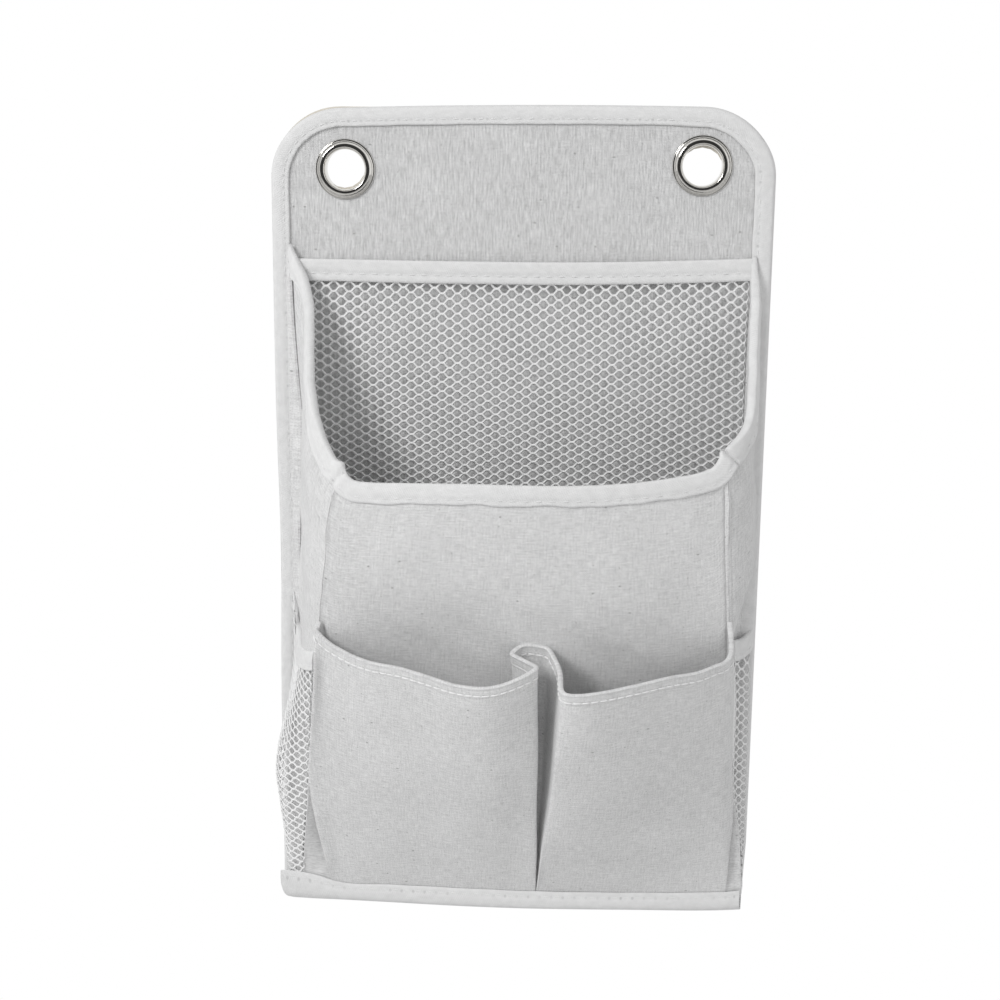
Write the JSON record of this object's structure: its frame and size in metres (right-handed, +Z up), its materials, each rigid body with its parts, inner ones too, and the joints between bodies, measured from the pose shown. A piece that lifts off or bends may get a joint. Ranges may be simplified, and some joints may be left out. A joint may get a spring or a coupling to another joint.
{
  "type": "wall hanging storage organizer",
  "caption": "Cloth wall organizer on eyelets: stiffened back panel with a deep gusseted pocket, pleated front pockets, a flat net pocket and net pockets at the sides.",
  "frame": {"origin": "on the wall plane, midway between the centres of the two eyelets", "axes": "+X to the right seen from the room, +Y towards the wall, +Z up; the pockets face -Y"},
  "size_m": [0.2055, 0.0791, 0.34],
  "materials": {
    "back_cloth": "cotton linen, vertical slubs",
    "pocket_cloth": "cotton linen, fine crosshatch",
    "white_tape": "twill tape, matte",
    "white_net": "knitted net",
    "white_thread": "sewing thread",
    "nickel": "polished nickel plate",
    "stiffener": "plain sheet"
  },
  "bodies": {
    "root": {"back_lining": "back_cloth", "stiffener_sheet": "stiffener", "back_face": "back_cloth", "edge_tape": "white_tape", "bottom_tape": "white_tape", "left_eyelet": "nickel", "left_eyelet_washer": "nickel", "right_eyelet": "nickel", "right_eyelet_washer": "nickel", "net_panel": "white_net", "net_tape": "white_tape", "main_pocket_front": "pocket_cloth", "mouth_tape": "white_tape", "front_pocket_panel": "pocket_cloth", "left_gusset": "pocket_cloth", "left_side_net": "white_net", "left_side_band": "white_tape", "right_gusset": "pocket_cloth", "right_side_net": "white_net", "right_side_band": "white_tape", "edge_thread": "white_thread", "bottom_thread": "white_thread", "net_tape_thread": "white_thread", "mouth_thread": "white_thread", "hem_thread": "white_thread", "pleat_thread": "white_thread"}
  },
  "joints": []
}
